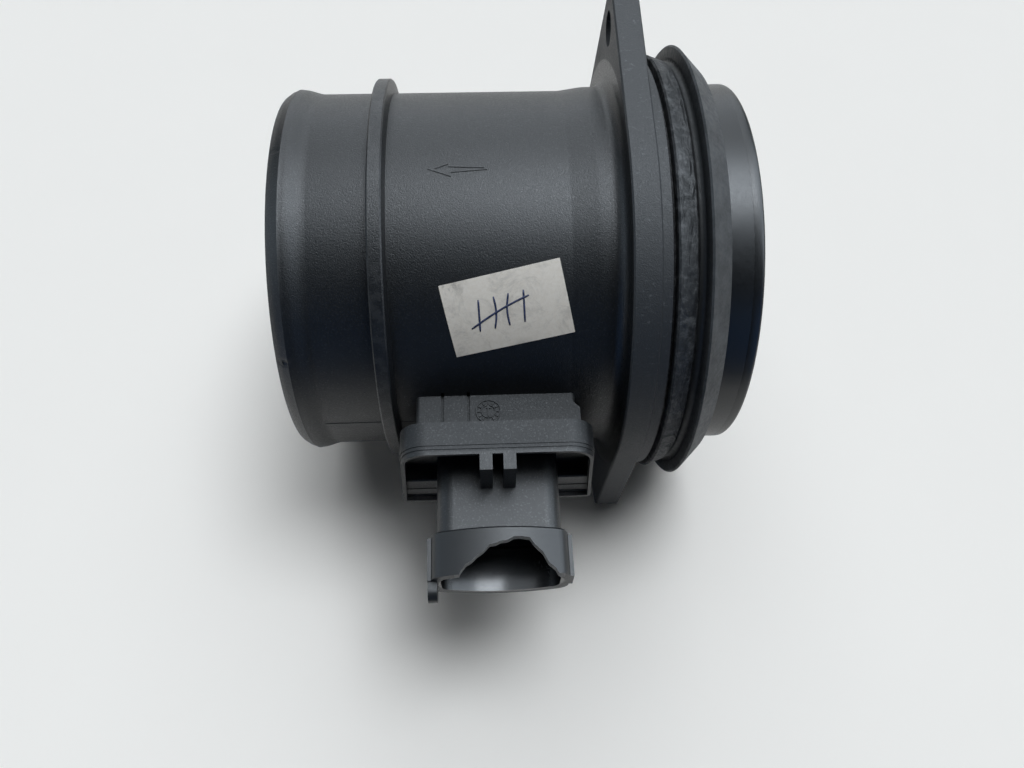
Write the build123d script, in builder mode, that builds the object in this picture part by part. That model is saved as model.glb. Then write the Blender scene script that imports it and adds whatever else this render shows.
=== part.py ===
# Mass airflow sensor: a moulded measuring pipe with a plug-in hot-film sensor.
# Origin: centre of the flange's mounting face, on the pipe axis.
# +X points out of the air inlet, the connector points along -Y, +Z is up.
import math
import os

from build123d import *

os.makedirs("parts", exist_ok=True)

# ---- measuring pipe, stations along X ----
outlet_x = -80.4
inlet_x = 22.7
pipe_r = 43.0
pipe_wall = 4.0
duct_r = pipe_r - pipe_wall
bead_rise = 1.0
bead_len = 6.0
lead_in = 1.6
nick_depth = 0.5
rib_rise = 3.3
rib_left = -59.3
rib_w = 2.6
rib_side = 0.75
collar_rise = 0.7
collar_x = -12.0
collar_end = -8.2

# ---- inlet spigot: bore step for the flow grid, then the pilot ring outside ----
bore_step = 1.6
bore_step_x = 7.0
spigot_wall = 3.4
spigot_bore = duct_r + bore_step
spigot_r = spigot_bore + spigot_wall
lip_round = 0.9
pilot_rise = 6.1
pilot_r = spigot_r + pilot_rise
pilot_len = 2.0

# ---- mounting flange ----
flange_t = 6.0
ease = 0.35
root_rise = 3.3
face_ledge = 0.4
disc_r = pilot_r + face_ledge
bolt_beyond_disc = 6.15
ear_turn = 54.12
ear_r = 7.7
bolt_r = 3.85
bolt_circle_r = disc_r + bolt_beyond_disc
ear_y = bolt_circle_r * math.cos(math.radians(ear_turn))
ear_z = bolt_circle_r * math.sin(math.radians(ear_turn))
corner_reach = 8.4
corner_drop = 0.9
corner_r = 6.0

# ---- sensor seat on the pipe ----
head_x = -33.9
boss_len = 35.2
boss_w = 21.6
boss_corner = 0.9
seat_rise = 6.6
seat_y = pipe_r + seat_rise
seat_root = 13.0
slot_len = 27.0
slot_w = 13.0
panel_groove = 0.7
groove_depth = 0.8
clock_rise = 0.3

# ---- flow arrow, raised on the pipe ----
arrow_x = -40.8
arrow_turn = 96.3
arrow_len = 12.4
arrow_head = 4.8
arrow_half = 1.9
arrow_rise = 0.15
sink = 0.5

# ---- sensor head outside: tray, plug and shroud ----
tray_len = 45.3
tray_w = 28.6
tray_lean = 86.3
tray_h = 7.4
tray_wall = 1.2
tray_corner = 6.0
tray_far_corner = 1.6
lip_h = 1.2
land_h = 0.8
rim_set_back = 0.2
floor_t = 2.0
plug_z = -2.7
plug_len = 27.2
plug_w = 11.0
plug_corner = 3.6
plug_rise = 20.6
shroud_len = 9.9
shoulder_y = seat_y + plug_rise
mouth_y = shoulder_y + shroud_len
shroud_half = 14.8
shroud_side = 5.4
shroud_crown = 8.7
shroud_corner = 3.4
shroud_wall = 2.0
socket_floor = 1.4
gusset_x = 2.5
gusset_t = 2.7
gusset_reach = 3.6

# ---- probe inside the pipe, depths measured inward from the seat face ----
probe_depth = 58.0
probe_len = 26.0
probe_w = 11.0
probe_corner = 2.2
neck_depth = 10.2
ring_depth = 4.0
ring_w = 2.0
fit_gap = 0.15
cover_t = 1.3
cover_half = 11.4
cover_gap = 0.2
ledge = 1.0
deck = probe_w / 2 - cover_t
pocket_floor = -4.0
pocket_half = 10.5
pocket_top = 12.1
pocket_end = 30.6
run_top = 33.8
run_end = 39.8
channel_half = 9.0
channel_w = 4.5
channel_top = 47.1
channel_end = 53.6
pin_pitch = 4.2
pin_w = 1.5
pin_t = 0.8
plate_t = 1.0
board_t = 0.8
lead_top = 19.6
lead_end = 25.6
lead_t = 0.5


def ring_solid(x0, x1, outer, inner):
    """A plain ring round the pipe axis from x0 to x1."""
    disc = Cylinder(outer, x1 - x0, mode=Mode.PRIVATE)
    disc -= Cylinder(inner, x1 - x0 + 2, mode=Mode.PRIVATE)
    return Pos((x0 + x1) / 2, 0, 0) * Rot(0, 90, 0) * disc


def slab(x0, x1, d0, d1, z0, z1):
    """A block given by its limits: x from the sensor's centre line, depth d inward from the seat face."""
    block = Box(x1 - x0, d1 - d0, z1 - z0, mode=Mode.PRIVATE)
    return Pos(head_x + (x0 + x1) / 2, (d0 + d1) / 2 - seat_y, (z0 + z1) / 2) * block


def head_plane(depth):
    """Sketch plane across the sensor at a depth inward from the seat face, looking outward."""
    return Plane.XZ.offset(seat_y - depth)


def flange_outline(inset):
    """Two-ear flange outline, drawn in the open sketch."""
    Circle(disc_r - inset)
    with Locations((ear_y, ear_z), (-ear_y, -ear_z)):
        Circle(ear_r - inset)
    with Locations((-ear_y - corner_reach, corner_drop - ear_z)):
        Circle(corner_r - inset)
    make_hull()


def oval(half, side, crown, corner):
    """Plug outline as a face: straight ends, crowned long sides, rounded corners."""
    front = ThreePointArc((-half, side), (0, crown), (half, side))
    back = ThreePointArc((half, -side), (0, -crown), (-half, -side))
    ends = Line((half, side), (half, -side)) + Line((-half, -side), (-half, side))
    outline = make_face(front + back + ends)
    return fillet(outline.vertices(), corner)


def tray_outline(inset):
    """Tray outline in the open sketch: wider and nearly square below, narrower and well rounded above."""
    with Locations((head_x, 0)):
        Trapezoid(tray_len - 2 * inset, tray_w - 2 * inset, tray_lean)
    fillet(vertices().group_by(Axis.Y)[-1], tray_corner - inset)
    fillet(vertices().group_by(Axis.Y)[0], tray_far_corner - inset)


shroud_outline = oval(shroud_half, shroud_side, shroud_crown, shroud_corner)
socket_outline = oval(shroud_half - shroud_wall, shroud_side - 0.85 * shroud_wall,
                      shroud_crown - shroud_wall, shroud_corner - 0.6 * shroud_wall)

# ---------------------------------------------------------------- housing
with BuildPart() as housing:
    # outside of the pipe, with outlet bead, stop rib, collar and inlet spigot
    with BuildSketch(Plane.XY):
        with BuildLine():
            Polyline((outlet_x, 0), (outlet_x, pipe_r - 0.9), (outlet_x + 0.5, pipe_r - 0.2))
            ThreePointArc((outlet_x + 0.5, pipe_r - 0.2), (outlet_x + 3.6, pipe_r + bead_rise),
                          (outlet_x + bead_len, pipe_r))
            Polyline((outlet_x + bead_len, pipe_r), (rib_left, pipe_r), (rib_left, pipe_r + rib_rise - 0.3),
                     (rib_left + 0.3, pipe_r + rib_rise), (rib_left + rib_w - 0.3, pipe_r + rib_rise),
                     (rib_left + rib_w, pipe_r + rib_rise - 0.3), (rib_left + rib_w + rib_side, pipe_r),
                     (collar_x, pipe_r), (collar_x + 0.8, pipe_r + collar_rise),
                     (collar_end, pipe_r + collar_rise), (-flange_t - 1, pipe_r + collar_rise + 0.5),
                     (-flange_t - 0.3, pipe_r + collar_rise + 1.5),
                     (-flange_t + 1, pipe_r + collar_rise + root_rise),
                     (0, pipe_r + collar_rise + root_rise), (0, pilot_r), (pilot_len, pilot_r),
                     (pilot_len, spigot_r), (inlet_x - lip_round, spigot_r))
            TangentArc((inlet_x - lip_round, spigot_r), (inlet_x, spigot_r - lip_round), tangent=(1, 0))
            Polyline((inlet_x, spigot_r - lip_round), (inlet_x, 0), (outlet_x, 0))
        make_face()
    revolve(axis=Axis.X)

    # two-ear flange plate with eased edges
    with BuildSketch(Plane.YZ.offset(ease - flange_t)):
        flange_outline(0)
    extrude(amount=flange_t - 2 * ease)
    for inner_x, outer_x in ((ease - flange_t, -flange_t), (-ease, 0)):
        with BuildSketch(Plane.YZ.offset(inner_x)):
            flange_outline(0)
        with BuildSketch(Plane.YZ.offset(outer_x)):
            flange_outline(ease)
        loft(ruled=True)

    # flat-topped seat for the sensor head, with two grooves in its front
    with BuildSketch(head_plane(seat_root)):
        with Locations((head_x, 0)):
            RectangleRounded(boss_len, boss_w, boss_corner)
    extrude(amount=seat_root)
    for along in (-12.1, -6.4):
        groove = slab(along, along + panel_groove, 0, seat_root, boss_w / 2 - groove_depth, boss_w / 2 + 1)
        add(groove, mode=Mode.SUBTRACT)

    # mould date clock and raised panel on the seat's front
    with BuildSketch(Plane((head_x - 1.7, 3.9 - seat_y, boss_w / 2), x_dir=(1, 0, 0), z_dir=(0, 0, 1))):
        Circle(2.8)
        Circle(2.6, mode=Mode.SUBTRACT)
        Circle(1.6)
        Circle(1.4, mode=Mode.SUBTRACT)
        Rectangle(0.3, 2.4)
        with Locations((0, 1.0)):
            Triangle(a=1.1, b=1.1, c=1.1)
        with PolarLocations(2.1, 12):
            Rectangle(0.7, 0.3)
    extrude(amount=clock_rise)

    # raised flow arrow on the pipe, pointing to the outlet
    tilt = math.radians(arrow_turn)
    lift = Vector(0, math.cos(tilt), math.sin(tilt))
    tip = -arrow_len / 2
    barb = tip + arrow_head
    with BuildSketch(Plane(Vector(arrow_x, 0, 0) + lift * (pipe_r - sink), x_dir=(1, 0, 0), z_dir=lift)):
        with BuildLine():
            Polyline((-tip, 0.35), (barb, 0.9), (barb, arrow_half), (tip, 0), (barb, -arrow_half),
                     (barb, -0.9), (-tip, -0.35), close=True)
        make_face()
        with BuildLine():
            Polyline((-tip - 0.6, 0.12), (barb - 0.5, 0.5), (barb - 0.5, arrow_half - 0.7), (tip + 1.4, 0),
                     (barb - 0.5, 0.7 - arrow_half), (barb - 0.5, -0.5), (-tip - 0.6, -0.12), close=True)
        make_face(mode=Mode.SUBTRACT)
    extrude(amount=sink + arrow_rise)

    # duct, inlet counterbore and outlet lead
    with BuildSketch(Plane.XY):
        with BuildLine():
            Polyline((outlet_x - 1, 0), (outlet_x - 1, duct_r + lead_in), (outlet_x, duct_r + lead_in),
                     (outlet_x + 3.5, duct_r), (bore_step_x, duct_r), (bore_step_x, spigot_bore),
                     (inlet_x - 1.6, spigot_bore), (inlet_x, spigot_bore + 1.4),
                     (inlet_x + 1, spigot_bore + 1.4), (inlet_x + 1, 0), close=True)
        make_face()
    revolve(axis=Axis.X, mode=Mode.SUBTRACT)

    # probe slot through the seat and bolt holes through the ears
    with BuildSketch(head_plane(2 * seat_root)):
        with Locations((head_x, 0)):
            RectangleRounded(slot_len, slot_w, 3.0)
    extrude(amount=2 * seat_root + 1, mode=Mode.SUBTRACT)
    with BuildSketch(Plane.YZ.offset(-flange_t - 1)):
        with Locations((ear_y, ear_z), (-ear_y, -ear_z)):
            Circle(bolt_r)
    extrude(amount=flange_t + 2, mode=Mode.SUBTRACT)

    # handling damage on the outlet bead: two nicks
    for turn, size in ((89.7, 1.0), (150.8, 1.5)):
        nick_dir = Vector(0, math.cos(math.radians(turn)), math.sin(math.radians(turn)))
        nick_at = Vector(outlet_x + 2.6, 0, 0) + nick_dir * (pipe_r + bead_rise - nick_depth)
        spot = Plane(nick_at, x_dir=(1, 0, 0), z_dir=nick_dir)
        nick = Box(size * 1.7, size, 2.0, mode=Mode.PRIVATE)
        add(spot * Pos(0, 0, 1.0) * Rot(16, -20, 25) * nick, mode=Mode.SUBTRACT)
housing.part.label = "housing"
export_step(housing.part, "parts/housing.step")

# ---------------------------------------------------------------- lip seal
foot = spigot_r + 0.3
back = pilot_len
with BuildPart() as lip_seal:
    with BuildSketch(Plane.XY):
        with BuildLine():
            # foot and rounded ridge, the groove behind it, then the thin lip that leans out over the spigot
            Polyline((back, foot), (back, foot + 4.1), (back + 0.8, foot + 4.1), (back + 1.0, foot + 6.2),
                     (back + 1.4, foot + 6.6), (back + 5.0, foot + 5.3))
            ThreePointArc((back + 5.0, foot + 5.3), (back + 6.3, foot + 4.6), (back + 6.9, foot + 5.9))
            Polyline((back + 6.9, foot + 5.9), (back + 7.2, foot + 8.2), (back + 7.6, foot + 8.6),
                     (back + 12.3, foot + 3.9), (back + 11.4, foot + 3.0), (back + 9.1, foot + 5.4),
                     (back + 8.5, foot + 4.8), (back + 8.5, foot + 2.1), (back + 12.0, foot + 1.7),
                     (back + 12.3, foot), (back, foot))
        make_face()
    revolve(axis=Axis.X)
lip_seal.part.label = "lip_seal"
export_step(lip_seal.part, "parts/lip_seal.step")

# ---------------------------------------------------------------- sensor body
with BuildPart() as sensor_body:
    # open thin-walled tray that closes the seat, its rim set back in two small steps
    wall_h = tray_h - lip_h - land_h
    with BuildSketch(head_plane(0)):
        tray_outline(0)
    extrude(amount=wall_h)
    with BuildSketch(head_plane(-wall_h)):
        tray_outline(rim_set_back)
    extrude(amount=land_h)
    with BuildSketch(head_plane(-wall_h - land_h)):
        tray_outline(2 * rim_set_back)
    extrude(amount=lip_h)
    with BuildSketch(head_plane(-floor_t)):
        tray_outline(tray_wall)
    extrude(amount=tray_h, mode=Mode.SUBTRACT)
    with BuildSketch(head_plane(-wall_h)):
        tray_outline(tray_wall - rim_set_back)
    extrude(amount=land_h, mode=Mode.SUBTRACT)

    # plug body, then the wider shroud
    with BuildSketch(head_plane(0)):
        with Locations((head_x, plug_z)):
            RectangleRounded(plug_len, plug_w, plug_corner)
    extrude(amount=plug_rise + 1)
    with BuildSketch(head_plane(-plug_rise)):
        with Locations((head_x, plug_z)):
            add(shroud_outline)
    extrude(amount=shroud_len)
    chamfer(sensor_body.faces().filter_by(Axis.Y).sort_by(Axis.Y)[1].outer_wire().edges(), 0.4)

    # two upright webs from the plug's front to the tray's lip, standing out past it
    for side in (-gusset_x, gusset_x):
        half_t = gusset_t / 2
        add(slab(side - half_t, side + half_t, -tray_h - gusset_reach, -1,
                 plug_z, tray_w / 2 - 2 * rim_set_back))

    # side rails of the shroud
    for side in (-shroud_half, shroud_half):
        add(slab(side - 0.8, side + 0.8, -plug_rise - shroud_len, -plug_rise - 0.7,
                 plug_z - 2.6, plug_z + 3.6))

    # tongue left standing at the broken corner
    with BuildSketch(Plane.YZ.offset(head_x - shroud_half - 0.7)):
        with Locations((-mouth_y - 1, plug_z + 0.8)):
            SlotOverall(6.0, 4.6)
    extrude(amount=shroud_wall)

    # socket for the mating plug, with the deeper terminal well
    with BuildSketch(head_plane(-plug_rise - socket_floor)):
        with Locations((head_x, plug_z)):
            add(socket_outline)
    extrude(amount=shroud_len + 2, mode=Mode.SUBTRACT)
    with BuildSketch(head_plane(7.7 - plug_rise)):
        with Locations((head_x, plug_z)):
            RectangleRounded(plug_len - 4.0, plug_w - 3.4, 2.0)
    extrude(amount=shroud_len + 2, mode=Mode.SUBTRACT)

    # front wall of the shroud, broken away in an uneven arch
    with BuildSketch(Plane((head_x, -mouth_y, plug_z + 3.2), x_dir=(1, 0, 0), z_dir=(0, 0, 1))):
        with BuildLine():
            Polyline((-9.0, -0.9), (-8.7, 0.2), (-8.3, 0.9), (-7.3, 2.1), (-6.2, 2.6), (-4.9, 3.8),
                     (-3.6, 4.6), (-2.2, 6.0), (-1.0, 6.1), (0.2, 6.6), (1.7, 6.8), (2.9, 7.5), (4.4, 7.6),
                     (6.3, 7.3), (7.2, 6.0), (9.0, 4.3), (10.1, 2.2), (11.6, 1.0), (12.6, -0.9), close=True)
        make_face()
    extrude(amount=shroud_crown, mode=Mode.SUBTRACT)

    # probe reaching into the duct, thicker at its neck
    with BuildSketch(head_plane(probe_depth)):
        with Locations((head_x, 0)):
            RectangleRounded(probe_len, probe_w, probe_corner)
    extrude(amount=probe_depth + 1)
    with BuildSketch(head_plane(neck_depth)):
        with Locations((head_x, 0)):
            RectangleRounded(slot_len - 0.8, slot_w - 0.8, 2.6)
    extrude(amount=neck_depth)

    # groove round the neck for its seal
    with BuildSketch(head_plane(ring_depth + ring_w)):
        with Locations((head_x, 0)):
            RectangleRounded(slot_len + 1, slot_w + 1, 2.6)
            RectangleRounded(slot_len - 3.2, slot_w - 3.2, 1.6, mode=Mode.SUBTRACT)
    extrude(amount=ring_w, mode=Mode.SUBTRACT)

    # electronics pocket with its cover ledge
    top = probe_w / 2 + 0.5
    add(slab(-pocket_half, pocket_half, pocket_top, pocket_end, pocket_floor, top), mode=Mode.SUBTRACT)
    ledge_half = cover_half + cover_gap
    add(slab(-ledge_half, ledge_half, pocket_top - ledge, pocket_end + ledge, deck, top), mode=Mode.SUBTRACT)

    # bypass channel: inlet passage from the side, up one leg, across the chip and out through the floor
    inlet = slab(-channel_half, probe_len / 2 + 0.5, channel_top, channel_end, pocket_floor, deck)
    add(inlet, mode=Mode.SUBTRACT)
    up_leg = slab(-channel_half, channel_w - channel_half, run_top, channel_end, pocket_floor, top)
    add(up_leg, mode=Mode.SUBTRACT)
    add(slab(-channel_half, channel_half, run_top, run_end, pocket_floor, top), mode=Mode.SUBTRACT)
    down_leg = slab(channel_half - channel_w, channel_half, run_top, run_end + 4.3, pocket_floor, top)
    add(down_leg, mode=Mode.SUBTRACT)
    vent = slab(channel_half - channel_w + 0.5, channel_half - 0.5, run_end + 0.5, run_end + 3.8, -top, 0)
    add(vent, mode=Mode.SUBTRACT)
    add(slab(-ledge_half, ledge_half, run_top - ledge, channel_end + ledge, deck, top), mode=Mode.SUBTRACT)

    # window between pocket and channel for the plate that carries the chip
    window = slab(-3.2, 3.2, pocket_end - 0.2, run_top + 0.2, pocket_floor, pocket_floor + plate_t + 0.2)
    add(window, mode=Mode.SUBTRACT)

    # moulded-in terminal passages and the air-temperature sensor's two lead holes
    for step in range(-2, 3):
        pin_x = step * pin_pitch
        passage = slab(pin_x - pin_w / 2, pin_x + pin_w / 2, 6.5 - plug_rise, pocket_top + 0.5,
                       plug_z - pin_t / 2, plug_z + pin_t / 2)
        add(passage, mode=Mode.SUBTRACT)
    for lead in (lead_top, lead_end):
        hole = slab(-probe_len / 2 - 0.5, 1 - probe_len / 2, lead - 0.3, lead + 0.3, -0.3, 0.3)
        add(hole, mode=Mode.SUBTRACT)
sensor_body.part.label = "sensor_body"
export_step(sensor_body.part, "parts/sensor_body.step")

# ---------------------------------------------------------------- neck seal
with BuildPart() as neck_seal:
    with BuildSketch(head_plane(ring_depth + ring_w - fit_gap)):
        with Locations((head_x, 0)):
            RectangleRounded(slot_len - 0.2, slot_w - 0.2, 2.9)
            RectangleRounded(slot_len - 2.9, slot_w - 2.9, 1.8, mode=Mode.SUBTRACT)
    extrude(amount=ring_w - 2 * fit_gap)
neck_seal.part.label = "neck_seal"
export_step(neck_seal.part, "parts/neck_seal.step")

# ---------------------------------------------------------------- terminals
with BuildPart() as terminals:
    for step in range(-2, 3):
        pin_x = step * pin_pitch
        add(slab(pin_x - pin_w / 2, pin_x + pin_w / 2, 0.8 - plug_rise, pocket_top + 2.9,
                 plug_z - pin_t / 2, plug_z + pin_t / 2))
    tips = terminals.edges().filter_by(Axis.X).group_by(Axis.Y)[0]
    chamfer(tips, pin_t / 3)
terminals.part.label = "terminals"
export_step(terminals.part, "parts/terminals.step")

# ---------------------------------------------------------------- measuring cell
plate_top = pocket_floor + plate_t
board_top = plate_top + board_t
chip_t = 0.9
resistor_t = 0.5
gel_rise = 1.6
with BuildPart() as carrier_plate:
    add(slab(0.7 - pocket_half, pocket_half - 0.7, pocket_top + 3.7, pocket_end - 1,
             pocket_floor, plate_top))
    add(slab(-3, 3, pocket_end - 1.5, run_end - 1, pocket_floor, plate_top))
carrier_plate.part.label = "carrier_plate"
export_step(carrier_plate.part, "parts/carrier_plate.step")

with BuildPart() as circuit_board:
    add(slab(1.5 - pocket_half, pocket_half - 1.5, pocket_top + 4.3, pocket_end - 1.8, plate_top, board_top))
circuit_board.part.label = "circuit_board"
export_step(circuit_board.part, "parts/circuit_board.step")

with BuildPart() as hot_film_chip:
    add(slab(-1.9, 1.9, run_top + 0.6, run_end - 1.6, plate_top, plate_top + 0.4))
hot_film_chip.part.label = "hot_film_chip"
export_step(hot_film_chip.part, "parts/hot_film_chip.step")

with BuildPart() as evaluation_chip:
    add(slab(-2.4, 2.4, pocket_top + 8, pocket_top + 12.8, board_top, board_top + chip_t))
evaluation_chip.part.label = "evaluation_chip"
export_step(evaluation_chip.part, "parts/evaluation_chip.step")

with BuildPart() as chip_resistors:
    for chip_x in (-6.6, 6.6):
        for along in (6.9, 10.5, 14.1):
            add(slab(chip_x - 0.8, chip_x + 0.8, pocket_top + along - 0.5, pocket_top + along + 0.5,
                     board_top, board_top + resistor_t))
chip_resistors.part.label = "chip_resistors"
export_step(chip_resistors.part, "parts/chip_resistors.step")

with BuildPart() as sealing_gel:
    add(slab(1.7 - pocket_half, pocket_half - 1.7, pocket_top + 4.5, pocket_end - 2,
             board_top, board_top + gel_rise))
    add(evaluation_chip.part, mode=Mode.SUBTRACT)
    add(chip_resistors.part, mode=Mode.SUBTRACT)
sealing_gel.part.label = "sealing_gel"
export_step(sealing_gel.part, "parts/sealing_gel.step")

# ---------------------------------------------------------------- probe covers
edge = ledge - cover_gap
with BuildPart() as electronics_cover:
    add(slab(-cover_half, cover_half, pocket_top - edge, pocket_end + edge, deck, probe_w / 2))
    chamfer(electronics_cover.faces().sort_by(Axis.Z)[-1].edges(), 0.3)
electronics_cover.part.label = "electronics_cover"
export_step(electronics_cover.part, "parts/electronics_cover.step")

with BuildPart() as bypass_cover:
    add(slab(-cover_half, cover_half, run_top - edge, channel_end + edge, deck, probe_w / 2))
    chamfer(bypass_cover.faces().sort_by(Axis.Z)[-1].edges(), 0.3)
bypass_cover.part.label = "bypass_cover"
export_step(bypass_cover.part, "parts/bypass_cover.step")

# ---------------------------------------------------------------- air temperature sensor
lead_reach = 3.3
bulb_r = 1.2
with BuildPart() as air_temp_sensor:
    bulb_x = -probe_len / 2 - lead_reach
    for lead in (lead_top, lead_end):
        add(slab(bulb_x, 1 - probe_len / 2, lead - lead_t / 2, lead + lead_t / 2, -lead_t / 2, lead_t / 2))
    add(slab(bulb_x, bulb_x + lead_t, lead_top - lead_t / 2, lead_end + lead_t / 2, -lead_t / 2, lead_t / 2))
    bulb = Cylinder(bulb_r, 3.0, mode=Mode.PRIVATE)
    add(Pos(head_x + bulb_x + lead_t / 2, (lead_top + lead_end) / 2 - seat_y, 0) * Rot(90, 0, 0) * bulb)
    chamfer(air_temp_sensor.edges().filter_by(GeomType.CIRCLE), 0.35)
air_temp_sensor.part.label = "air_temp_sensor"
export_step(air_temp_sensor.part, "parts/air_temp_sensor.step")

# ---------------------------------------------------------------- wire mesh, flow grid and retaining ring
cell = 8.6
grid_wall = 0.9
grid_len = 7.0
mesh_t = 0.5
mesh_pitch = 6.8
mesh_bar = 0.5
ring_band = 2.7
grid_r = spigot_bore - 0.3
mesh_x = bore_step_x + 0.3
grid_x = mesh_x + mesh_t + 0.5
clip_x = grid_x + grid_len + 0.1


def inside(spots, limit):
    """The spots whose distance from the pipe axis is under the limit."""
    return [spot for spot in spots if math.hypot(spot[0], spot[1]) < limit]


with BuildPart() as flow_grid:
    with BuildSketch(Plane.YZ.offset(grid_x)):
        Circle(grid_r)
        row_step = cell * math.sqrt(3) / 2
        reach = range(-5, 6)
        comb = [((col + (row % 2) / 2) * cell, row * row_step) for row in reach for col in reach]
        with Locations(*inside(comb, grid_r - cell / math.sqrt(3) - 0.6)):
            RegularPolygon((cell - grid_wall) / 2, 6, major_radius=False, rotation=30, mode=Mode.SUBTRACT)
    extrude(amount=grid_len)
flow_grid.part.label = "flow_grid"
export_step(flow_grid.part, "parts/flow_grid.step")

with BuildPart() as wire_mesh:
    with BuildSketch(Plane.YZ.offset(mesh_x)):
        Circle(grid_r)
        squares = [(col * mesh_pitch, row * mesh_pitch) for row in range(-6, 7) for col in range(-6, 7)]
        with Locations(*inside(squares, grid_r - 0.8 * mesh_pitch)):
            Rectangle(mesh_pitch - mesh_bar, mesh_pitch - mesh_bar, mode=Mode.SUBTRACT)
    extrude(amount=mesh_t)
wire_mesh.part.label = "wire_mesh"
export_step(wire_mesh.part, "parts/wire_mesh.step")

with BuildPart() as grid_ring:
    add(ring_solid(clip_x, clip_x + 2, grid_r, grid_r - ring_band))
    chamfer(grid_ring.edges().filter_by(GeomType.CIRCLE).group_by(Axis.X)[-1], 0.5)
grid_ring.part.label = "grid_ring"
export_step(grid_ring.part, "parts/grid_ring.step")

# ---------------------------------------------------------------- label
label_x = -31.1
label_turn = math.radians(136.7)
label_len = 25.7
label_w = 16.0
label_skew = 11.7
label_gap = 0.06
label_t = 0.14
label_up = Vector(0, math.cos(label_turn), math.sin(label_turn))
label_plane = Plane(Vector(label_x, 0, 0) + label_up * (pipe_r - 4), x_dir=(1, 0, 0), z_dir=label_up)
with BuildPart() as label:
    with BuildSketch(label_plane):
        Rectangle(label_len, label_w, rotation=label_skew)
    extrude(amount=8)
    label_r = pipe_r + label_gap
    skin = ring_solid(label_x - label_len, label_x + label_len, label_r + label_t, label_r)
    add(skin, mode=Mode.INTERSECT)
label.part.label = "label"
export_step(label.part, "parts/label.step")
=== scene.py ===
import math

import bmesh
import bpy
from mathutils import Matrix, Vector


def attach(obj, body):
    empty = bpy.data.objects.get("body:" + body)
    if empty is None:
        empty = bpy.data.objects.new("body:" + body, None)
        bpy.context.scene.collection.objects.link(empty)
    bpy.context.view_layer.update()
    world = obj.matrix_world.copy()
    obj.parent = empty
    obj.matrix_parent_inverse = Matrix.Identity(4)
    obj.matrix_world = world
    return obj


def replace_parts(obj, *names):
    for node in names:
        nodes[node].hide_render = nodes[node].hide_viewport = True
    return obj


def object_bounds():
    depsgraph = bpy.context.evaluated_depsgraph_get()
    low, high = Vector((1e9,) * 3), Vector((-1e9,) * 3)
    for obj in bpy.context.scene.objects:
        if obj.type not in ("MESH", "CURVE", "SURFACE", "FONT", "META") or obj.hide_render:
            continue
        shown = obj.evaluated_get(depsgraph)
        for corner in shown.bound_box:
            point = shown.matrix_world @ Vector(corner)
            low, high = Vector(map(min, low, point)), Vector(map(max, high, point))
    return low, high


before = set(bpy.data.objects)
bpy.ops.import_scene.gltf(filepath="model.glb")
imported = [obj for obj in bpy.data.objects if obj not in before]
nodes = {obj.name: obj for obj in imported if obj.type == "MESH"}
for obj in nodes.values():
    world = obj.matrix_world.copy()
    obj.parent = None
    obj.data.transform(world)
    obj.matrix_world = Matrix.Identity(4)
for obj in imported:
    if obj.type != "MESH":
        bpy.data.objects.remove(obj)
cad_lo, cad_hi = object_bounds()
MM = 0.001

# ---- sizes repeated from the CAD source, in mm ----
PIPE_R = 43.0
SPIGOT_R = 44.0
PILOT_R, PILOT_LEN = 50.1, 2.0
FLANGE_BACK = -6.0
OUTLET_X = -80.4
HEAD_X = -33.9
SEAT_Y = 49.6
SEAT_HALF = 10.8
PLUG_Z = -2.7
SOCKET_HALF_X, SOCKET_HALF_Z = 13.7, 7.7
RIM_Y = SEAT_Y + 7.4
TRAY_HALF, TRAY_SIDE, TRAY_LEAN = 22.65, 14.3, 86.3
LABEL_X, LABEL_TURN, LABEL_SKEW = -31.1, 136.7, 11.7
GRID_R = 40.3
MESH_X = 7.3

# ---- finish that the solids leave out, in mm ----
TRAY_WALL = 1.15
SHELF_Z, SHELF_DROP, SHELF_STEP = -4.9, 1.7, 0.6
RIB_BACK, RIB_FRONT, RIB_TOP, RIB_EDGE = -59.42, -56.28, 46.32, 0.3
COVE_START, COVE_R, COVE_RISE = -17.4, 2.8, 0.8
CREST_X, CREST_RISE, FALL_LEN = -77.35, 1.06, 5.2
LIP_R, LIP_LEN = 0.9, 2.5
TOE_X, TOE_ROOT = -15.4, -18.2
PEN_W = 0.42
MESH_PITCH, WIRE_R = 1.7, 0.09
PARTING_W, PARTING_RISE = 0.35, 0.10
PIPE_MIDDLE = Vector((-0.036, 0, 0))


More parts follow.
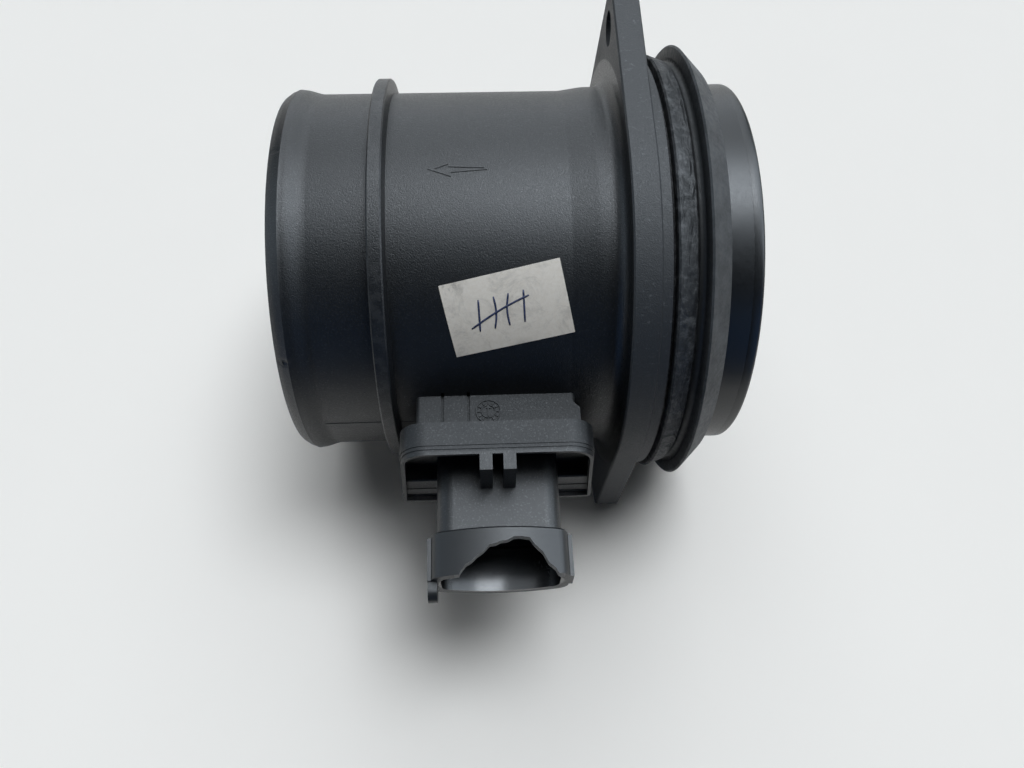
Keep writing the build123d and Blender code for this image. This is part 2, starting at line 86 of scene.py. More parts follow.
# ------------------------------------------------------------------ node helpers
class Mat:
    """A Principled material whose colour, roughness and bump are built from procedural nodes."""

    def __init__(self, name, roughness=0.5, **fixed):
        self.mat = bpy.data.materials.new(name)
        self.mat.use_nodes = True
        self.tree = self.mat.node_tree
        self.bsdf = self.tree.nodes["Principled BSDF"]
        self.bsdf.inputs["Roughness"].default_value = roughness
        for socket, value in fixed.items():
            self.bsdf.inputs[socket.replace("_", " ")].default_value = value
        self.coord = self.tree.nodes.new("ShaderNodeTexCoord").outputs["Object"]
        self.height = None

    def node(self, kind, **props):
        made = self.tree.nodes.new(kind)
        for key, value in props.items():
            setattr(made, key, value)
        return made

    def put(self, socket, value):
        if isinstance(value, bpy.types.NodeSocket):
            self.tree.links.new(value, socket)
        else:
            socket.default_value = value

    def math(self, op, a, b=0.0, clamp=False):
        n = self.node("ShaderNodeMath", operation=op, use_clamp=clamp)
        self.put(n.inputs[0], a)
        self.put(n.inputs[1], b)
        return n.outputs[0]

    def scaled(self, by):
        n = self.node("ShaderNodeVectorMath", operation="MULTIPLY")
        self.put(n.inputs[0], self.coord)
        n.inputs[1].default_value = by
        return n.outputs[0]

    def noise(self, scale, detail=3.0, rough=0.5, stretch=None, distort=0.0):
        n = self.node("ShaderNodeTexNoise")
        self.put(n.inputs["Vector"], self.scaled(stretch) if stretch else self.coord)
        n.inputs["Scale"].default_value = scale
        n.inputs["Detail"].default_value = detail
        n.inputs["Roughness"].default_value = rough
        n.inputs["Distortion"].default_value = distort
        return n.outputs["Fac"]

    def cells(self, scale, feature="F1", out="Distance"):
        n = self.node("ShaderNodeTexVoronoi", feature=feature)
        self.put(n.inputs["Vector"], self.coord)
        n.inputs["Scale"].default_value = scale
        return n.outputs[out]

    def step(self, value, lo, hi, a=0.0, b=1.0):
        """value mapped smoothly from lo..hi to a..b, held outside."""
        n = self.node("ShaderNodeMapRange", interpolation_type="SMOOTHSTEP")
        self.put(n.inputs["Value"], value)
        for key, v in (("From Min", lo), ("From Max", hi), ("To Min", a), ("To Max", b)):
            n.inputs[key].default_value = v
        return n.outputs["Result"]

    def axis(self, which):
        if not hasattr(self, "_xyz"):
            self._xyz = self.node("ShaderNodeSeparateXYZ")
            self.put(self._xyz.inputs[0], self.coord)
        return self._xyz.outputs[which]

    def facing(self, which):
        if not hasattr(self, "_normal"):
            self._normal = self.node("ShaderNodeSeparateXYZ")
            self.put(self._normal.inputs[0], self.node("ShaderNodeNewGeometry").outputs["Normal"])
        return self._normal.outputs[which]

    def radius(self):
        """Distance from the pipe axis."""
        y, z = self.axis("Y"), self.axis("Z")
        total = self.math("ADD", self.math("MULTIPLY", y, y), self.math("MULTIPLY", z, z))
        return self.math("SQRT", total)

    def band(self, value, lo, hi, soft):
        """1 between lo and hi, falling to 0 over soft, all in mm."""
        rise = self.step(value, (lo - soft) * MM, lo * MM)
        fall = self.step(value, hi * MM, (hi + soft) * MM, 1.0, 0.0)
        return self.math("MULTIPLY", rise, fall)

    def in_oval(self, x, z, half_x, half_z):
        """1 inside an oval of the X-Z plane, centre and half lengths in mm."""
        a = self.math("MULTIPLY", self.math("SUBTRACT", self.axis("X"), x * MM), 1 / (half_x * MM))
        b = self.math("MULTIPLY", self.math("SUBTRACT", self.axis("Z"), z * MM), 1 / (half_z * MM))
        total = self.math("ADD", self.math("MULTIPLY", a, a), self.math("MULTIPLY", b, b))
        return self.step(total, 0.94, 1.06, 1.0, 0.0)

    def spot(self, at, size, squash=(1, 1, 1)):
        """1 at a point in mm, falling to 0 at size mm away."""
        away = self.node("ShaderNodeVectorMath", operation="SUBTRACT")
        self.put(away.inputs[0], self.coord)
        away.inputs[1].default_value = [v * MM for v in at]
        shaped = self.node("ShaderNodeVectorMath", operation="MULTIPLY")
        self.put(shaped.inputs[0], away.outputs[0])
        shaped.inputs[1].default_value = squash
        n = self.node("ShaderNodeVectorMath", operation="LENGTH")
        self.put(n.inputs[0], shaped.outputs[0])
        return self.step(n.outputs["Value"], 0.0, size * MM, 1.0, 0.0)

    def mix(self, fac, a, b):
        n = self.node("ShaderNodeMix", data_type="RGBA")
        self.put(n.inputs["Factor"], fac)
        self.put(n.inputs[6], a if isinstance(a, bpy.types.NodeSocket) else (*a, 1.0))
        self.put(n.inputs[7], b if isinstance(b, bpy.types.NodeSocket) else (*b, 1.0))
        return n.outputs[2]

    def color(self, value):
        self.put(self.bsdf.inputs["Base Color"], value)
        return value

    def rough(self, value):
        self.put(self.bsdf.inputs["Roughness"], value)

    def bump(self, height, strength, distance):
        """One more layer of bump, distance in mm."""
        n = self.node("ShaderNodeBump")
        n.inputs["Strength"].default_value = strength
        n.inputs["Distance"].default_value = distance * MM
        self.put(n.inputs["Height"], height)
        if self.height:
            self.put(n.inputs["Normal"], self.height)
        self.height = n.outputs["Normal"]
        self.put(self.bsdf.inputs["Normal"], self.height)


def grey(level, warm=0.0):
    """A near-neutral colour, bluer where warm is below 0."""
    return (level * (1 + warm), level, level * (1 - warm))


# ------------------------------------------------------------------ materials
def moulded_black(name, dark, light, base_rough, grain=1.0, smooth=None):
    """Satin moulded plastic: uneven tone, fine grain and faint handling haze.

    smooth(m) gives a mask of where the mould was polished and the grain stops.
    """
    m = Mat(name, IOR=1.58)
    tone = m.step(m.noise(60, 4, 0.6), 0.35, 0.68)
    body = m.mix(tone, grey(dark, -0.12), grey(light, -0.10))
    haze = m.step(m.noise(22, 6, 0.7, distort=0.8), 0.52, 0.75)
    body = m.mix(m.math("MULTIPLY", haze, 0.30), body, grey(light * 1.8, -0.08))
    fine = m.noise(3200, 3, 0.65)
    speck = m.step(m.noise(2400, 2, 0.5), 0.56, 0.70)
    relief = fine
    if smooth:
        grained = m.math("SUBTRACT", 1.0, smooth(m))
        relief = m.math("MULTIPLY", fine, grained)
        speck = m.math("MULTIPLY", speck, grained)
    body = m.mix(m.math("MULTIPLY", speck, 0.45 * grain), body, grey(light * 3.2, -0.06))
    m.gloss = m.math("ADD", m.step(fine, 0.3, 0.75, base_rough - 0.05, base_rough + 0.09),
                     m.math("MULTIPLY", haze, 0.08))
    m.gloss = m.math("SUBTRACT", m.gloss, m.math("MULTIPLY", speck, 0.10))
    m.base = body
    m.color(body)
    m.rough(m.gloss)
    m.bump(m.noise(140, 3, 0.5), 0.25, 0.10)
    m.bump(relief, 0.55 * grain, 0.06)
    return m


def spigot_zone(m):
    return m.step(m.axis("X"), 0.0140, 0.0144)


def shroud_zone(m):
    return m.step(m.axis("Y"), -0.0712, -0.0704, 1.0, 0.0)


def housing_plastic():
    """The pipe's plastic, scuffed on the flange's edge and the stop rib, matt on the seat, with painted light
    on the top of the flange's edge.
    """
    m = moulded_black("housing_plastic", 0.0040, 0.007, 0.39, 2.4, spigot_zone)
    rim = m.math("MULTIPLY", m.band(m.axis("X"), FLANGE_BACK - 0.2, PILOT_LEN + 0.2, 0.1),
                 m.step(m.radius(), (PILOT_R - 0.3) * MM, PILOT_R * MM))
    scuff = m.step(m.noise(1100, 6, 0.8, stretch=(0.5, 1, 1), distort=0.6), 0.56, 0.70)
    # Partly scuffs, partly painted light and shade: the edge's scuffs are strong on top and fade to almost
    # none low down, so the top of the edge reads lighter and its underside darker.
    top_lit_scuff_ramp = m.step(m.axis("Z"), 0.014, 0.034, 0.05, 0.60)
    rim_tone = m.mix(m.math("MULTIPLY", scuff, top_lit_scuff_ramp), grey(0.021, -0.08), grey(0.16, -0.04))
    tone = m.mix(rim, m.base, rim_tone)
    crest = m.math("MULTIPLY", m.band(m.axis("X"), RIB_BACK + 0.12, RIB_FRONT - 0.12, 0.2),
                   m.step(m.radius(), (RIB_TOP - 0.52) * MM, (RIB_TOP - 0.12) * MM))
    crest = m.math("MULTIPLY", crest, m.step(m.noise(300, 5, 0.7), 0.45, 0.62))
    tone = m.mix(m.math("MULTIPLY", crest, 0.35), tone, grey(0.06))
    streak = m.step(m.noise(90, 7, 0.8, stretch=(1.0, 5.0, 5.0), distort=1.5), 0.66, 0.74)
    m.color(m.mix(m.math("MULTIPLY", streak, 0.35), tone, grey(0.055)))
    seat = m.math("MULTIPLY", m.band(m.axis("X"), -52.5, -15.0, 0.2),
                  m.step(m.axis("Y"), -0.0419, -0.0414, 1.0, 0.0))
    seat = m.math("MULTIPLY", seat, m.step(m.axis("Z"), 0.0086, 0.0092))
    gloss = m.math("ADD", m.gloss, m.math("MULTIPLY", rim, 0.18), clamp=True)
    gloss = m.math("SUBTRACT", gloss, m.math("MULTIPLY", spigot_zone(m), 0.05))
    m.rough(m.math("ADD", gloss, m.math("MULTIPLY", seat, 0.22), clamp=True))
    return m


def sensor_plastic():
    """The sensor's plastic, with the shroud's rough fracture and its polished inside."""
    m = moulded_black("sensor_plastic", 0.008, 0.013, 0.42, 1.5, shroud_zone)
    broken = m.math("MULTIPLY", m.band(m.axis("Y"), -81.5, -72.0, 0.3),
                    m.band(m.axis("X"), -43.5, -20.5, 0.3))
    broken = m.math("MULTIPLY", broken, m.step(m.axis("Z"), 0.0004, 0.0006))
    level = m.math("ABSOLUTE", m.facing("Z"))
    broken = m.math("MULTIPLY", broken, m.step(level, 0.25, 0.45, 1.0, 0.0))
    fracture = m.mix(m.step(m.noise(1800, 5, 0.8), 0.35, 0.65), grey(0.16), grey(0.36))
    m.color(m.mix(broken, m.base, fracture))
    socket = m.math("MULTIPLY", shroud_zone(m), m.in_oval(HEAD_X, PLUG_Z, SOCKET_HALF_X, SOCKET_HALF_Z))
    socket = m.math("MULTIPLY", socket, m.math("SUBTRACT", 1.0, broken))
    wall = m.math("MULTIPLY", m.step(m.axis("Y"), -0.0566, -0.0560), m.step(m.axis("Z"), 0.012, 0.013))
    gloss = m.math("ADD", m.gloss, m.math("MULTIPLY", broken, 0.25), clamp=True)
    gloss = m.math("ADD", gloss, m.math("MULTIPLY", wall, 0.16), clamp=True)
    m.rough(m.math("SUBTRACT", gloss, m.math("MULTIPLY", socket, 0.24), clamp=True))
    return m


def seal_rubber():
    """Old rubber: dust on the ridge, dust and painted light on the cone, and creases along the ridge."""
    m = Mat("seal_rubber")
    along = m.axis("X")
    rubber = m.mix(m.step(m.noise(80, 4, 0.6), 0.35, 0.7), grey(0.012, -0.06), grey(0.024, -0.05))
    dust = m.step(m.noise(500, 7, 0.8, stretch=(0.7, 1, 1)), 0.45, 0.66)
    ridge = m.math("MULTIPLY", dust, m.band(along, 2.5, 7.2, 0.5))
    rubber = m.mix(m.math("MULTIPLY", ridge, 0.70), rubber, grey(0.115, -0.02))
    # Partly dust, partly painted light: the cone is made paler to stand in for the light falling on its
    # upward-facing side.
    cone_dust_and_light_noise = m.step(m.noise(160, 6, 0.75), 0.35, 0.70, 0.35, 0.9)
    cone_dust_and_painted_light = m.math("MULTIPLY", cone_dust_and_light_noise, m.band(along, 9.2, 14.4, 0.3))
    m.color(m.mix(m.math("MULTIPLY", cone_dust_and_painted_light, 0.75), rubber, grey(0.115, -0.05)))
    m.rough(m.step(m.noise(900, 4, 0.7), 0.3, 0.7, 0.48, 0.68))
    m.bump(m.noise(120, 4, 0.6), 0.5, 0.20)
    folds = m.noise(150, 3, 0.55, stretch=(1.5, 0.6, 0.6), distort=1.6)
    m.bump(m.math("MULTIPLY", folds, m.band(along, 2.6, 7.2, 0.5)), 0.8, 1.1)
    m.bump(m.noise(1500, 5, 0.7), 0.35, 0.05)
    return m


def inner_seal():
    m = Mat("inner_rubber")
    m.color(m.mix(m.noise(200, 4), grey(0.02), grey(0.035)))
    m.rough(m.step(m.noise(900), 0.3, 0.7, 0.5, 0.7))
    m.bump(m.noise(1200, 4), 0.3, 0.04)
    return m


def metal(name, a, b, roughness, brushed):
    """Bare sheet metal with a rolling grain and slight tarnish."""
    m = Mat(name, Metallic=1.0)
    tarnish = m.step(m.noise(90, 6, 0.7), 0.4, 0.7)
    m.color(m.mix(tarnish, a, b))
    grain = m.noise(700, 3, 0.6, stretch=brushed)
    m.rough(m.step(grain, 0.3, 0.7, roughness - 0.08, roughness + 0.10))
    m.bump(grain, 0.15, 0.02)
    return m


def ceramic():
    m = Mat("ceramic_board")
    m.color(m.mix(m.step(m.cells(700), 0.2, 0.5), (0.62, 0.60, 0.54), (0.50, 0.49, 0.45)))
    m.rough(m.step(m.noise(600), 0.3, 0.7, 0.45, 0.6))
    m.bump(m.noise(1500, 3), 0.2, 0.02)
    return m


def dark_chip():
    m = Mat("chip_dark")
    m.color(m.mix(m.noise(900, 4), grey(0.012), grey(0.03)))
    m.rough(m.step(m.noise(1500), 0.3, 0.7, 0.28, 0.42))
    m.bump(m.noise(2500, 3), 0.2, 0.01)
    return m


def clear_gel():
    m = Mat("gel_clear", Transmission_Weight=0.85, IOR=1.41)
    m.color(m.mix(m.noise(70, 3), (0.80, 0.84, 0.82), (0.90, 0.91, 0.88)))
    m.rough(m.step(m.noise(300), 0.3, 0.7, 0.06, 0.14))
    m.bump(m.noise(120, 2), 0.3, 0.10)
    return m


def label_paper():
    """Soiled white paper with two darker smudges."""
    m = Mat("paper_label")
    fibre = m.noise(1400, 5, 0.7)
    face = m.mix(m.step(fibre, 0.3, 0.7), (0.89, 0.81, 0.71), (0.95, 0.88, 0.79))
    grime = m.step(m.noise(150, 8, 0.8, distort=0.6), 0.46, 0.66)
    face = m.mix(m.math("MULTIPLY", grime, 0.30), face, (0.24, 0.21, 0.18))
    for place, size in (((-43.5, -27.0, 33.5), 5.0), ((-27.5, -37.5, 21.5), 4.5)):
        smudge = m.math("MULTIPLY", m.spot(place, size), m.step(m.noise(260, 6, 0.75), 0.38, 0.62))
        face = m.mix(m.math("MULTIPLY", smudge, 0.75), face, (0.07, 0.06, 0.055))
    m.color(face)
    m.rough(m.step(fibre, 0.3, 0.7, 0.62, 0.78))
    m.bump(fibre, 0.25, 0.03)
    return m


def pen_ink():
    m = Mat("pen_ink")
    m.color(m.mix(m.step(m.noise(900, 4), 0.4, 0.65), (0.020, 0.030, 0.085), (0.06, 0.075, 0.16)))
    m.rough(m.step(m.noise(1500), 0.3, 0.7, 0.4, 0.6))
    m.bump(m.noise(2500), 0.2, 0.01)
    return m


housing = housing_plastic()
sensor = sensor_plastic()
cover = moulded_black("cover_plastic", 0.010, 0.016, 0.45)
grid_mat = moulded_black("grid_plastic", 0.009, 0.015, 0.40)
seal = seal_rubber()
inner_rubber = inner_seal()
terminal = metal("terminal_metal", (0.62, 0.60, 0.55), (0.42, 0.39, 0.34), 0.32, (1, 0.08, 1))
plate = metal("plate_metal", (0.60, 0.61, 0.62), (0.45, 0.45, 0.45), 0.38, (1, 0.1, 1))
wire = metal("mesh_metal", (0.50, 0.50, 0.49), (0.30, 0.29, 0.27), 0.35, (1, 1, 1))
board = ceramic()
chip = dark_chip()
gel = clear_gel()
paper = label_paper()
ink = pen_ink()

MATERIALS = {
    "housing": housing, "lip_seal": seal, "flow_grid": grid_mat, "grid_ring": grid_mat, "wire_mesh": wire,
    "sensor_body": sensor, "neck_seal": inner_rubber, "terminals": terminal, "carrier_plate": plate,
    "circuit_board": board, "hot_film_chip": chip, "evaluation_chip": chip, "chip_resistors": chip,
    "sealing_gel": gel, "electronics_cover": cover, "bypass_cover": cover, "air_temp_sensor": terminal,
    "label": paper,
}
for name, made in MATERIALS.items():
    obj = nodes[name]
    if obj.data.materials:
        for i in range(len(obj.data.materials)):
            obj.material_slots[i].material = made.mat
    else:
        obj.data.materials.append(made.mat)


# ------------------------------------------------------------------ added pieces
def add_piece(name, bm, material, smooth=True):
    """A mesh piece in mm from bmesh, riding on the root body."""
    bmesh.ops.scale(bm, vec=(MM, MM, MM), verts=bm.verts)
    bmesh.ops.recalc_face_normals(bm, faces=bm.faces)
    data = bpy.data.meshes.new(name)
    bm.to_mesh(data)
    bm.free()
    if smooth:
        for poly in data.polygons:
            poly.use_smooth = True
    obj = bpy.data.objects.new(name, data)
    bpy.context.scene.collection.objects.link(obj)
    data.materials.append(material.mat)
    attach(obj, "root")
    return obj


def on_pipe(x, turn, radius):
    a = math.radians(turn)
    return Vector((x, radius * math.cos(a), radius * math.sin(a)))


def label_point(u, v, lift):
    """A point of the sticker from its own axes: u along it, v up it, lift above the pipe."""
    s = math.radians(LABEL_SKEW)
    x = u * math.cos(s) - v * math.sin(s)
    t = u * math.sin(s) + v * math.cos(s)
    up = Vector((0, math.cos(math.radians(LABEL_TURN)), math.sin(math.radians(LABEL_TURN))))
    across = up.cross(Vector((1, 0, 0)))
    r = PIPE_R + lift
    return Vector((LABEL_X + x, 0, 0)) + across * t + up * math.sqrt(r * r - t * t)


def loft(bm, rows):
    """A closed solid through rows of vertices, capped at both ends."""
    size = len(rows[0])
    for p, q in zip(rows, rows[1:]):
        for k in range(size):
            n = (k + 1) % size
            bm.faces.new((p[k], p[n], q[n], q[k]))
    bm.faces.new(rows[0][::-1])
    bm.faces.new(rows[-1])


def ribbon(bm, line, width, lift, thick=0.02):
    """A thin pen stroke on the sticker through points of its own axes."""
    rows = []
    for i, (u, v) in enumerate(line):
        before = Vector(line[max(i - 1, 0)])
        after = Vector(line[min(i + 1, len(line) - 1)])
        way = (after - before).normalized()
        side = Vector((-way.y, way.x))
        half = width * (0.35 if i in (0, len(line) - 1) else 0.5)
        a, b = Vector((u, v)) + side * half, Vector((u, v)) - side * half
        over = lift + thick
        rows.append([bm.verts.new(label_point(*a, lift)), bm.verts.new(label_point(*b, lift)),
                     bm.verts.new(label_point(*b, over)), bm.verts.new(label_point(*a, over))])
    loft(bm, rows)


def even(count):
    """Steps from 0 to 1."""
    return [k / count for k in range(count + 1)]


def tally():
    """Four pen strokes and one across them."""
    bm = bmesh.new()
    for index, u0 in enumerate((-6.6, -3.4, -0.2, 3.0)):
        bow = 0.5 * math.sin(index * 2.1)
        line = [(u0 + 1.1 * t + bow * math.sin(math.pi * t), -3.4 + 6.8 * t) for t in even(10)]
        ribbon(bm, line, PEN_W, 0.22)
    cross = [(-8.2 + 13.2 * t, -2.4 + 4.4 * t + 0.5 * math.sin(3 * t)) for t in even(14)]
    ribbon(bm, cross, PEN_W, 0.24)
    return bm


def woven(pitch, wire_r, around=4):
    """Fine woven wires, each a chain of rings that waves over and under."""
    bm = bmesh.new()
    count = int(GRID_R / pitch)
    middle = MESH_X + 0.25
    for turn in (0, 1):
        for k in range(-count, count + 1):
            off = k * pitch
            half = math.sqrt(max(GRID_R ** 2 - off ** 2, 0.0)) - 0.2
            if half < pitch:
                continue
            steps = max(int(2 * half / (pitch / 2)), 2)
            rings = []
            for s in range(steps + 1):
                run = -half + 2 * half * s / steps
                wave = 0.11 * math.cos(math.pi * (run / pitch + k + turn))
                ring = []
                for a in range(around):
                    ang = 2 * math.pi * (a + 0.5) / around
                    x = middle + wave + wire_r * math.cos(ang)
                    side = off + wire_r * math.sin(ang)
                    ring.append(bm.verts.new((x, run, side) if turn == 0 else (x, side, run)))
                rings.append(ring)
            for r0, r1 in zip(rings, rings[1:]):
                for a in range(around):
                    bm.faces.new((r0[a], r0[(a + 1) % around], r1[(a + 1) % around], r1[a]))
            bm.faces.new(rings[0])
            bm.faces.new(rings[-1][::-1])
    return bm


def turned(profile, around=360):
    """A ring about the pipe axis from a closed profile of (x, radius)."""
    bm = bmesh.new()
    rings = [[bm.verts.new(on_pipe(x, 360 * k / around, r)) for x, r in profile] for k in range(around)]
    for p, q in zip(rings, rings[1:] + rings[:1]):
        for k in range(len(profile)):
            n = (k + 1) % len(profile)
            bm.faces.new((p[k], p[n], q[n], q[k]))
    return bm


def soften(obj, angle=34):
    obj.data.shade_smooth()
    obj.data.set_sharp_from_angle(angle=math.radians(angle))


def flange_cove():
    """Shallow run-in and small cove that blend the pipe into the flange."""
    root_r = PIPE_R + COVE_RISE
    profile = [(COVE_START, PIPE_R - 0.5), (COVE_START, PIPE_R - 0.01), (COVE_START + 0.8, PIPE_R + 0.05),
               (-12.0, PIPE_R + 0.70), (-11.1, PIPE_R + 0.78), (-9.6, root_r)]
    for a in (math.radians(degree) for degree in range(0, 85, 7)):
        profile.append((FLANGE_BACK - COVE_R * (1 - math.sin(a)), root_r + COVE_R * (1 - math.cos(a))))
    inside = FLANGE_BACK + 0.2
    return profile + [(inside, root_r + COVE_R), (inside, PIPE_R - 0.5)]


def stop_rib():
    """The rib's wider crest, rounded at both edges."""
    shoulder = RIB_TOP - RIB_EDGE
    return [(RIB_BACK, PIPE_R - 0.5), (RIB_BACK, shoulder), (-59.1, RIB_TOP), (-56.6, RIB_TOP),
            (RIB_FRONT, shoulder), (-55.8, PIPE_R - 0.1), (-55.8, PIPE_R - 0.5)]


def outlet_bead():
    """End chamfer, fine crest and a soft fall to the pipe."""
    end = OUTLET_X + 0.01
    profile = [(end, PIPE_R - 1.2), (end, PIPE_R - 0.45), (-80.1, PIPE_R - 0.15), (-78.9, PIPE_R + 0.66),
               (-77.9, PIPE_R + 1.02), (-77.65, PIPE_R + 1.16), (CREST_X, PIPE_R + CREST_RISE)]
    for k in range(1, 11):
        fall = 0.5 + 0.5 * math.cos(math.pi * k / 10)
        profile.append((CREST_X + FALL_LEN * k / 10, PIPE_R - 0.01 + (CREST_RISE + 0.01) * fall))
    return profile + [(CREST_X + FALL_LEN, PIPE_R - 1.2)]


def inlet_lip():
    """Rounded end of the inlet spigot."""
    end = cad_hi.x / MM - 0.01
    top = SPIGOT_R + 0.02
    profile = [(end - LIP_LEN, SPIGOT_R - 1.5), (end - LIP_LEN, SPIGOT_R - 0.02), (end - LIP_LEN + 0.2, top)]
    for a in (math.radians(degree) for degree in range(0, 91, 15)):
        profile.append((end - LIP_R * (1 - math.sin(a)), top - LIP_R * (1 - math.cos(a))))
    return profile + [(end, SPIGOT_R - 1.5)]


def dent(bm, x, turn, depth, size):
    """Push a ring's points toward the axis round one place."""
    at = on_pipe(x, turn, PIPE_R + 0.9)
    for v in bm.verts:
        away = (v.co - at).length / size
        if away < 1:
            inward = Vector((0, -v.co.y, -v.co.z)).normalized()
            v.co += inward * depth * (1 - away * away) ** 2


def tray_end(z, side):
    """x of the inner face of the tray's leaning end wall at height z."""
    half = TRAY_HALF - (z + TRAY_SIDE) / math.tan(math.radians(TRAY_LEAN)) - TRAY_WALL
    return HEAD_X + side * half


def tray_shelf():
    """Shelf along the tray's far side, with two fine lines."""
    near = TRAY_SIDE - TRAY_WALL
    shelf_y = -RIM_Y + SHELF_DROP
    root_y = -SEAT_Y - 1.8
    edge_y = shelf_y - SHELF_STEP
    profile = [(root_y, SHELF_Z), (shelf_y + 0.3, SHELF_Z), (shelf_y, SHELF_Z - 0.3),
               (shelf_y, SHELF_Z - 4.6), (shelf_y + 0.35, SHELF_Z - 4.7), (shelf_y + 0.35, SHELF_Z - 5.0),
               (shelf_y - 0.05, SHELF_Z - 5.1), (edge_y + 0.12, SHELF_Z - 7.1),
               (edge_y + 0.4, SHELF_Z - 7.2), (edge_y + 0.4, SHELF_Z - 7.5), (edge_y + 0.05, SHELF_Z - 7.6),
               (edge_y, -near), (root_y, -near)]
    bm = bmesh.new()
    loft(bm, [[bm.verts.new((tray_end(z, side), y, z)) for y, z in profile] for side in (-1, 1)])
    return bm


def seat_end():
    """Inlet end of the sensor's seat, bevelled at its root."""
    toe = [(TOE_ROOT, -SEAT_Y + 0.02), (TOE_X, -SEAT_Y + 0.02), (TOE_X, -PIPE_R - 2.2),
           (-16.9, -PIPE_R - 0.6), (TOE_ROOT, -PIPE_R + 1.5)]
    half = SEAT_HALF + 0.02
    bm = bmesh.new()
    loft(bm, [[bm.verts.new((x, y, z)) for x, y in toe] for z in (-half, half)])
    return bm


def parting_strip(bm, x0, x1, turn):
    """A fine ridge along the pipe from x0 to x1."""
    rows = []
    steps = max(int((x1 - x0) / 2), 2)
    half = math.degrees(PARTING_W / 2 / PIPE_R)
    for s in range(steps + 1):
        x = x0 + (x1 - x0) * s / steps
        rows.append([bm.verts.new(on_pipe(x, turn - half, PIPE_R - 0.1)),
                     bm.verts.new(on_pipe(x, turn, PIPE_R + PARTING_RISE)),
                     bm.verts.new(on_pipe(x, turn + half, PIPE_R - 0.1))])
    loft(bm, rows)


def parting_lines():
    """Mould parting lines down two sides of the pipe, broken by the rib and stopped at seat or cove."""
    bm = bmesh.new()
    for turn, stop in ((178.3, -51.8), (-1.7, COVE_START - 0.2)):
        parting_strip(bm, -74.0, -59.7, turn)
        parting_strip(bm, -55.7, stop, turn)
    return bm


add_piece("pen_strokes", tally(), ink)
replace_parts(add_piece("woven_mesh", woven(MESH_PITCH, WIRE_R), wire), "wire_mesh")
soften(add_piece("flange_cove", turned(flange_cove()), housing))
soften(add_piece("stop_rib", turned(stop_rib()), housing))
bead = turned(outlet_bead(), 900)
dent(bead, -78.4, 89.7, 0.45, 1.0)
dent(bead, -78.4, 150.8, 0.45, 1.3)
soften(add_piece("outlet_bead", bead, housing), 26)
soften(add_piece("inlet_lip", turned(inlet_lip()), housing))
soften(add_piece("tray_shelf", tray_shelf(), sensor))
add_piece("seat_end", seat_end(), housing, smooth=False)
add_piece("parting_lines", parting_lines(), housing, smooth=False)


# ------------------------------------------------------------------ floor
def sheet(name, x, y, z):
    """A flat staged rectangle between the x and y limits given, in metres, at height z."""
    data = bpy.data.meshes.new(name)
    data.from_pydata([(x[0], y[0], 0), (x[1], y[0], 0), (x[1], y[1], 0), (x[0], y[1], 0)], [], [(0, 1, 2, 3)])
    obj = bpy.data.objects.new(name, data)
    obj.location = (0, 0, z)
    bpy.context.scene.collection.objects.link(obj)
    return obj


def floor_paint():
    """Pale paint, a little paler to the camera than to other rays."""
    m = Mat("floor_paint", roughness=0.9)
    m.bsdf.inputs["Specular IOR Level"].default_value = 0.1
    painted = m.mix(m.noise(30, 3), (0.84, 0.79, 0.73), (0.86, 0.81, 0.75))
    viewed = m.mix(m.noise(30, 3), (0.975, 0.92, 0.855), (0.99, 0.935, 0.87))
    m.color(m.mix(m.node("ShaderNodeLightPath").outputs["Is Camera Ray"], painted, viewed))
    return m


floor = sheet("floor", (-1.6, 1.6), (-0.19, 2.4), cad_lo.z - 0.0002)
floor.data.materials.append(floor_paint().mat)

# ------------------------------------------------------------------ light
scene = bpy.context.scene


def heading(across, rise):
    """Unit vector across degrees toward +X and rise degrees up from +Y in the Y-Z plane."""
    a, r = math.radians(across), math.radians(rise)
    return Vector((math.sin(a), math.cos(a) * math.cos(r), math.cos(a) * math.sin(r)))


def aim(obj, towards):
    obj.rotation_mode = "QUATERNION"
    obj.rotation_quaternion = towards.to_track_quat("Z", "Y")


def soft_sun(name, across, rise, energy, width):
    """A wide, slightly blue sun, width degrees across."""
    data = bpy.data.lights.new(name, "SUN")
    data.energy = energy
    data.color = (0.86, 0.93, 1.0)
    data.angle = math.radians(width)
    lamp = bpy.data.objects.new(name, data)
    scene.collection.objects.link(lamp)
    aim(lamp, heading(across, rise))


def glow(name, color, strength):
    made = bpy.data.materials.new(name)
    made.use_nodes = True
    shader = made.node_tree.nodes["Principled BSDF"]
    shader.inputs["Base Color"].default_value = (0, 0, 0, 1)
    shader.inputs["Emission Color"].default_value = (*color, 1)
    shader.inputs["Emission Strength"].default_value = strength
    return made


def reflector(name, across, rise, away, half, made):
    """A square card seen only in reflections, facing the object from away metres."""
    card = sheet(name, (-half, half), (-half, half), 0)
    towards = heading(across, rise)
    card.location = PIPE_MIDDLE + towards * away
    aim(card, towards)
    card.data.materials.append(made)
    card.visible_camera = False
    card.visible_diffuse = False
    card.visible_shadow = False


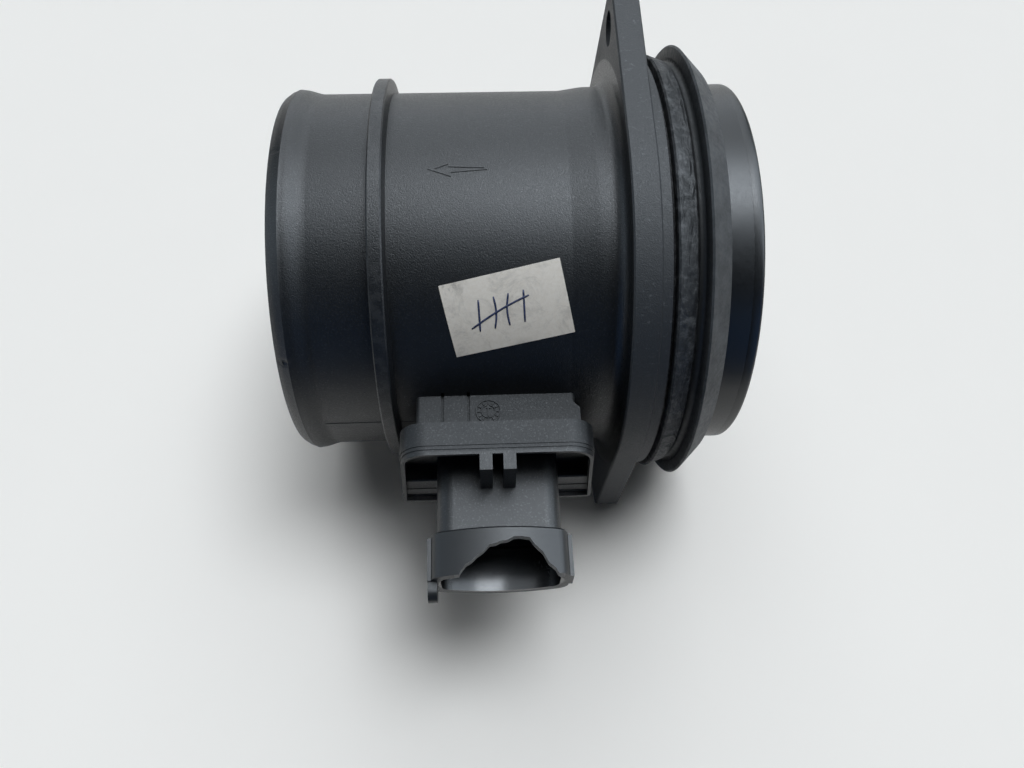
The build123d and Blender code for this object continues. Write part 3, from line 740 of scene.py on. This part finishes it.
soft_sun("overhead", 4, 68, 1.30, 64)
soft_sun("overhead_core", 12, 80, 1.50, 28)
soft_sun("back_wall", 0, 18, 0.8, 50)
low_glow = glow("low_glow", (0.20, 0.45, 1.0), 0.5)
left_glow = glow("left_glow", (0.72, 0.86, 1.0), 1.1)
right_glow = glow("right_glow", (0.80, 0.90, 1.0), 3.2)
reflector("low_card_left", -38, 172, 1.0, 0.36, low_glow)
reflector("low_card_right", 38, 172, 1.0, 0.36, low_glow)
reflector("high_card_left", -64, 80, 1.2, 0.50, left_glow)
reflector("high_card_right", 48, 80, 1.2, 0.60, right_glow)


def studio():
    """A nearly dark world that the camera alone sees as pale."""
    world = bpy.data.worlds.new("studio")
    scene.world = world
    world.use_nodes = True
    sky = world.node_tree
    dim = sky.nodes["Background"]
    dim.inputs["Color"].default_value = (0.80, 0.90, 1.0, 1.0)
    dim.inputs["Strength"].default_value = 0.03
    pale = sky.nodes.new("ShaderNodeBackground")
    pale.inputs["Color"].default_value = (0.84, 0.84, 0.84, 1.0)
    seen = sky.nodes.new("ShaderNodeLightPath")
    blend = sky.nodes.new("ShaderNodeMixShader")
    sky.links.new(seen.outputs["Is Camera Ray"], blend.inputs[0])
    sky.links.new(dim.outputs[0], blend.inputs[1])
    sky.links.new(pale.outputs[0], blend.inputs[2])
    sky.links.new(blend.outputs[0], sky.nodes["World Output"].inputs["Surface"])


studio()
scene.view_settings.view_transform = "Standard"

# ------------------------------------------------------------------ camera
# fitted to the pipe's outline in the photo
CAMERA_AT = Vector((-36.484, -127.82, 179.20))
CAMERA_RIGHT = Vector((0.999097, -0.038896, 0.017070))
CAMERA_UP = Vector((0.026426, 0.883793, 0.467134))
CAMERA_BACK = Vector((-0.033256, -0.466261, 0.884023))

cam_data = bpy.data.cameras.new("camera")
cam_data.sensor_width = 36.0
cam_data.lens = 29.948
cam_data.clip_start, cam_data.clip_end = 0.01, 20.0
cam = bpy.data.objects.new("camera", cam_data)
scene.collection.objects.link(cam)
stance = Matrix((CAMERA_RIGHT, CAMERA_UP, CAMERA_BACK)).transposed().to_4x4()
cam.matrix_world = Matrix.Translation(CAMERA_AT * MM) @ stance
scene.camera = cam
